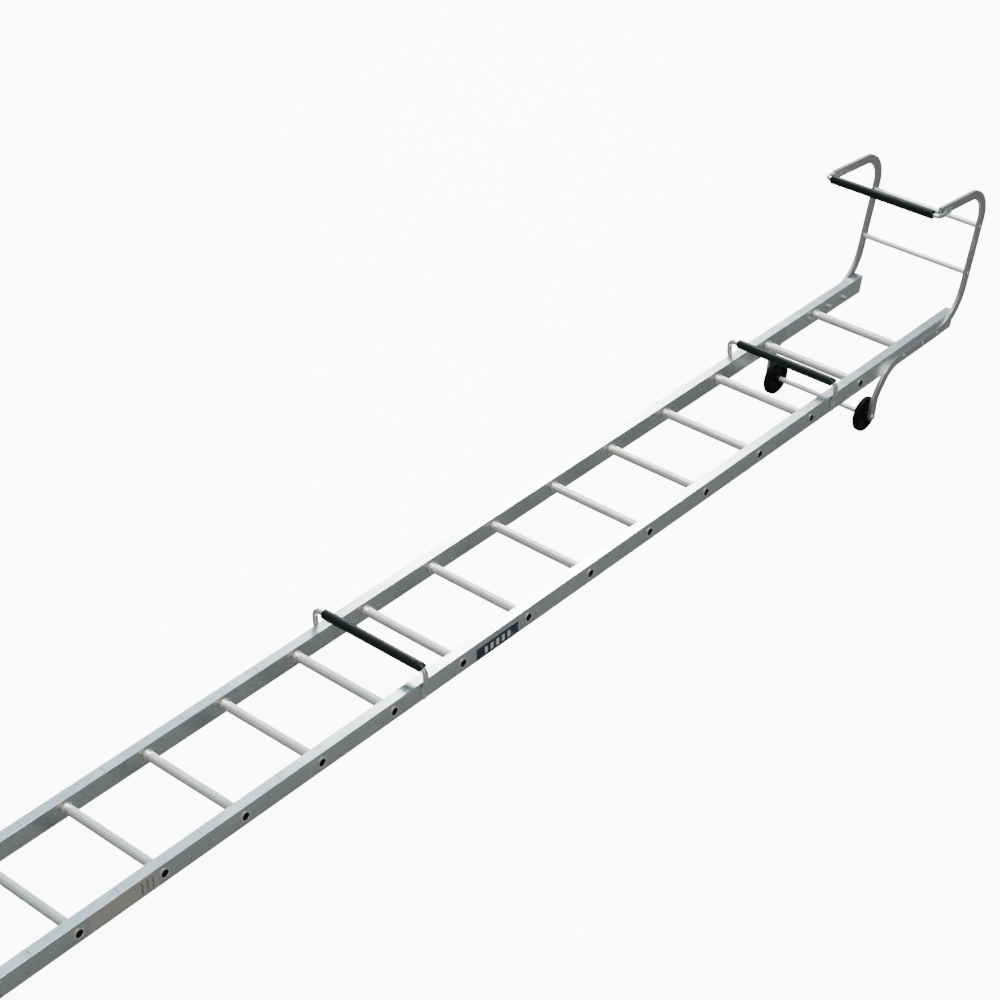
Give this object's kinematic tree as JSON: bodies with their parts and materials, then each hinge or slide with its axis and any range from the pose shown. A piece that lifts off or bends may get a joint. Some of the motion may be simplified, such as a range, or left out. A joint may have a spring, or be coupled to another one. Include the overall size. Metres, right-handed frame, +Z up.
{
  "type": "roof ladder with ridge hook",
  "caption": "Single-section aluminium roof ladder with round ribbed rungs, a ridge hook, padded bearing bars and a pair of transport wheels.",
  "frame": {"origin": "middle of the footprint at the height of the lowest point, the wheels' treads", "axes": "+Z up on the hook's side, +Y along the ladder towards the hook, +X across it"},
  "size_m": [0.42, 4.6413, 0.652],
  "materials": {
    "stile_aluminium": "satin",
    "rung_aluminium": "satin",
    "hook_aluminium": "satin",
    "tube_aluminium": "satin",
    "zinc_steel": "satin",
    "sleeve_plastic": "matte",
    "plug_plastic": "matte",
    "foot_rubber": "matte",
    "wheel_rubber": "matte",
    "hub_plastic": "matte",
    "label_blue": "gloss",
    "label_pale": "satin"
  },
  "bodies": {
    "ladder": {"axle_cap_left": "zinc_steel", "axle_cap_right": "zinc_steel", "axle_rod": "zinc_steel", "axle_spacer": "tube_aluminium", "axle_washer_left": "zinc_steel", "axle_washer_right": "zinc_steel", "bearing_bar_1": "tube_aluminium", "bearing_bar_2": "tube_aluminium", "bearing_bar_3": "tube_aluminium", "bearing_rivets_1": "zinc_steel", "bearing_rivets_2": "zinc_steel", "bearing_rivets_3": "zinc_steel", "bearing_sleeve_1": "sleeve_plastic", "bearing_sleeve_2": "sleeve_plastic", "bearing_sleeve_3": "sleeve_plastic", "cross_tube_lower": "tube_aluminium", "cross_tube_upper": "tube_aluminium", "data_label": "label_pale", "end_plug_left": "plug_plastic", "end_plug_right": "plug_plastic", "foot_left": "foot_rubber", "foot_right": "foot_rubber", "hook_bar_left": "hook_aluminium", "hook_bar_right": "hook_aluminium", "hook_bolts_left": "zinc_steel", "hook_bolts_right": "zinc_steel", "hook_nuts_left": "zinc_steel", "hook_nuts_right": "zinc_steel", "maker_label": "label_blue", "rung_01": "rung_aluminium", "rung_02": "rung_aluminium", "rung_03": "rung_aluminium", "rung_04": "rung_aluminium", "rung_05": "rung_aluminium", "rung_06": "rung_aluminium", "rung_07": "rung_aluminium", "rung_08": "rung_aluminium", "rung_09": "rung_aluminium", "rung_10": "rung_aluminium", "rung_11": "rung_aluminium", "rung_12": "rung_aluminium", "rung_13": "rung_aluminium", "rung_14": "rung_aluminium", "rung_15": "rung_aluminium", "rung_16": "rung_aluminium", "rung_17": "rung_aluminium", "stile_left": "stile_aluminium", "stile_right": "stile_aluminium", "tip_bar": "tube_aluminium", "tip_rivets": "zinc_steel", "tip_sleeve": "sleeve_plastic"},
    "wheel_right": {"tyre_right": "wheel_rubber", "hub_right": "hub_plastic"},
    "wheel_left": {"tyre_left": "wheel_rubber", "hub_left": "hub_plastic"}
  },
  "joints": [
    {"name": "wheel_right_turn", "type": "hinge", "parent": "ladder", "child": "wheel_right", "pos_m": [0.1655, 1.77033, 0.055], "axis": [1, 0, 0], "continuous": true},
    {"name": "wheel_left_turn", "type": "hinge", "parent": "ladder", "child": "wheel_left", "pos_m": [-0.1655, 1.77033, 0.055], "axis": [1, 0, 0], "continuous": true}
  ]
}
